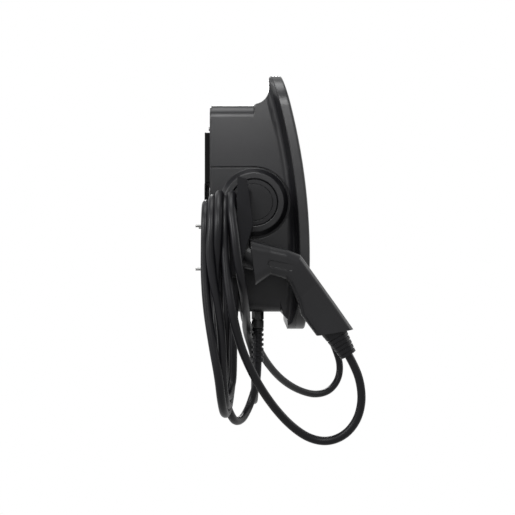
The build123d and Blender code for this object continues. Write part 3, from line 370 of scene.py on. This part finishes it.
def board():
    """Circuit board: green lacquer with a fine pattern of tracks under it."""
    material, nodes_in, links_in, shader = tree("board_laminate_look")
    place = nodes_in.new("ShaderNodeTexCoord")
    tracks = nodes_in.new("ShaderNodeTexBrick")
    tracks.inputs["Scale"].default_value = TRACK_WAVES
    tracks.inputs["Color1"].default_value = (0.012, 0.10, 0.04, 1)
    tracks.inputs["Color2"].default_value = (0.016, 0.13, 0.055, 1)
    tracks.inputs["Mortar"].default_value = (0.03, 0.19, 0.085, 1)
    tracks.inputs["Mortar Size"].default_value = TRACK_EDGE
    links_in.new(place.outputs["Object"], tracks.inputs["Vector"])
    links_in.new(tracks.outputs["Color"], shader.inputs["Base Color"])
    shader.inputs["Roughness"].default_value = BOARD_ROUGH
    bump = nodes_in.new("ShaderNodeBump")
    bump.inputs["Distance"].default_value = TRACK_DEPTH
    links_in.new(tracks.outputs["Fac"], bump.inputs["Height"])
    links_in.new(bump.outputs["Normal"], shader.inputs["Normal"])
    return material


LOOKS = {
    "shield_plastic": grainy("shield_plastic_look", (0.009, 0.009, 0.010), 0.30, edge=0.003, gloss=0.36),
    "housing_plastic": grainy("housing_plastic_look", (0.006, 0.006, 0.007), 0.32, edge=0.0018, gloss=0.24),
    "cap_plastic": grainy("cap_plastic_look", (0.005, 0.005, 0.006), 0.30, edge=0.0009, gloss=0.2),
    "holster_plastic": grainy("holster_plastic_look", (0.003, 0.003, 0.004), 0.34, edge=0.001, gloss=0.12),
    "connector_plastic": grainy("connector_look", (0.006, 0.006, 0.007), 0.30, edge=0.0020, gloss=0.26),
    "cable_rubber": grainy("cable_look", (0.004, 0.004, 0.005), 0.40, 900, 0.00002, 0.0002, gloss=0.16),
    "seal_rubber": grainy("seal_rubber_look", (0.010, 0.010, 0.010), 0.7, grain=700),
    "gland_plastic": grainy("gland_plastic_look", (0.007, 0.007, 0.007), 0.45, gloss=0.3),
    "bracket_steel": grainy("bracket_steel_look", (0.003, 0.003, 0.003), 0.6, grain=600, gloss=0.05),
    "screw_steel": metal("screw_steel_look", (0.17, 0.17, 0.168), 0.38),
    "rail_steel": metal("rail_steel_look", (0.64, 0.65, 0.63), 0.36),
    "device_plastic": grainy("device_plastic_look", (0.55, 0.55, 0.53), 0.45, vary=0.04),
    "lever_plastic": grainy("lever_plastic_look", (0.016, 0.016, 0.016), 0.28),
    "button_plastic": grainy("button_plastic_look", (0.62, 0.42, 0.03), 0.3, vary=0.05),
    "board_laminate": board(),
    "relay_plastic": grainy("relay_plastic_look", (0.02, 0.02, 0.023), 0.25, vary=0.08),
    "module_metal": metal("module_metal_look", (0.72, 0.72, 0.72), 0.3),
    "light_plastic": grainy("light_plastic_look", (0.22, 0.23, 0.24), 0.2, grain=300, vary=0.06),
    "pin_brass": metal("pin_brass_look", (0.78, 0.66, 0.42), 0.25),
}

for piece in nodes.values():
    for holder in piece.material_slots:
        holder.material = LOOKS[holder.material.name.split(".")[0]]

# The two charging cables
left_cable = cable("charging_cable_left", left_route())
right_cable = cable("charging_cable_right", right_route())
for side, piece, leave, length, solids in (
    ("left", left_cable, LEFT_EXIT, LEFT_LENGTH, ("cable_lead_left", "cable_tail_left")),
    ("right", right_cable, RIGHT_EXIT, RIGHT_LENGTH, ("cable_lead_right", "cable_tail_right")),
):
    piece.data.materials.append(LOOKS["cable_rubber"])
    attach(piece, "root_body")
    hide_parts(*solids, "cable_coil")
    on_cable = [f"{part}_{side}" for part in ("bend_relief", "connector_shell", "connector_nose")]
    on_cable += [f"{part}_{side}" for part in ("connector_pins", "connector_relief")]


def white_rays(nodes_in, links_in):
    """One for the rays that should meet a white background: seen, mirrored or sent through."""
    path = nodes_in.new("ShaderNodeLightPath")
    total = path.outputs["Is Camera Ray"]
    for kind in ("Is Glossy Ray", "Is Transmission Ray"):
        either = nodes_in.new("ShaderNodeMath")
        either.operation = "MAXIMUM"
        links_in.new(total, either.inputs[0])
        links_in.new(path.outputs[kind], either.inputs[1])
        total = either.outputs["Value"]
    return total


# Floor: a wide pale sheet well below the wall unit
FLOOR_DROP = 0.75
FLOOR_HALF = 9
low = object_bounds()[0].z - FLOOR_DROP
floor_mesh = bpy.data.meshes.new("floor")
floor_mesh.from_pydata(
    [(-FLOOR_HALF, -FLOOR_HALF, low), (FLOOR_HALF, -FLOOR_HALF, low),
     (FLOOR_HALF, FLOOR_HALF, low), (-FLOOR_HALF, FLOOR_HALF, low)],
    [],
    [(0, 1, 2, 3)],
)
floor = bpy.data.objects.new("floor", floor_mesh)
bpy.context.scene.collection.objects.link(floor)
floor_look, floor_nodes, floor_links, floor_shader = tree("floor_look")
floor_shader.inputs["Roughness"].default_value = 0.9
floor_shader.inputs["Base Color"].default_value = (0.8, 0.8, 0.8, 1)
seen = white_rays(floor_nodes, floor_links)
glow = floor_nodes.new("ShaderNodeEmission")
blend = floor_nodes.new("ShaderNodeMixShader")
floor_links.new(seen, blend.inputs["Fac"])
floor_links.new(floor_shader.outputs["BSDF"], blend.inputs[1])
floor_links.new(glow.outputs["Emission"], blend.inputs[2])
floor_links.new(blend.outputs["Shader"], floor_nodes["Material Output"].inputs["Surface"])
floor_mesh.materials.append(floor_look)

# World: white where it is seen or mirrored, dimmer where it only lights the object
AMBIENT = 0.2
world = bpy.data.worlds.new("studio")
bpy.context.scene.world = world
world.use_nodes = True
sky = world.node_tree
backing = sky.nodes["Background"]
backing.inputs["Color"].default_value = (1, 1, 1, 1)
backing.inputs["Strength"].default_value = AMBIENT
white = sky.nodes.new("ShaderNodeBackground")
white.inputs["Color"].default_value = (1, 1, 1, 1)
white.inputs["Strength"].default_value = 1
mix = sky.nodes.new("ShaderNodeMixShader")
sky.links.new(white_rays(sky.nodes, sky.links), mix.inputs["Fac"])
sky.links.new(backing.outputs["Background"], mix.inputs[1])
sky.links.new(white.outputs["Background"], mix.inputs[2])
sky.links.new(mix.outputs["Shader"], sky.nodes["World Output"].inputs["Surface"])


def lamp(name, place, aim, size, power):
    """Square soft light at a place, turned towards a point."""
    data = bpy.data.lights.new(name, "AREA")
    data.size = size
    data.energy = power
    light = bpy.data.objects.new(name, data)
    light.location = place
    light.rotation_euler = (Vector(aim) - Vector(place)).to_track_quat("-Z", "Y").to_euler()
    bpy.context.scene.collection.objects.link(light)


MIDDLE = (-0.05, -0.1, 0.03)
# Lamps: name, place, size and power
LAMPS = (
    ("top_light", (-0.4, 0.2, 1.9), 1.2, 30),
    ("camera_side_light", (-1.5, 0.0, 0.75), 0.5, 14),
    ("right_side_light", (1.5, 0.0, 0.75), 0.5, 14),
    ("wall_side_light", (-1.1, 1.6, 0.7), 0.6, 36),
    ("front_light", (0.3, -2.2, 0.8), 1.2, 12),
)
for name, place, size, power in LAMPS:
    lamp(name, place, MIDDLE, size, power)

camera_data = bpy.data.cameras.new("camera")
camera_data.lens = LENS
camera_data.sensor_width = SENSOR
camera = bpy.data.objects.new("camera", camera_data)
camera.location = CAMERA_PLACE
camera.rotation_euler = [math.radians(angle) for angle in CAMERA_TURN]
bpy.context.scene.collection.objects.link(camera)
bpy.context.scene.camera = camera
bpy.context.scene.view_settings.view_transform = "Standard"
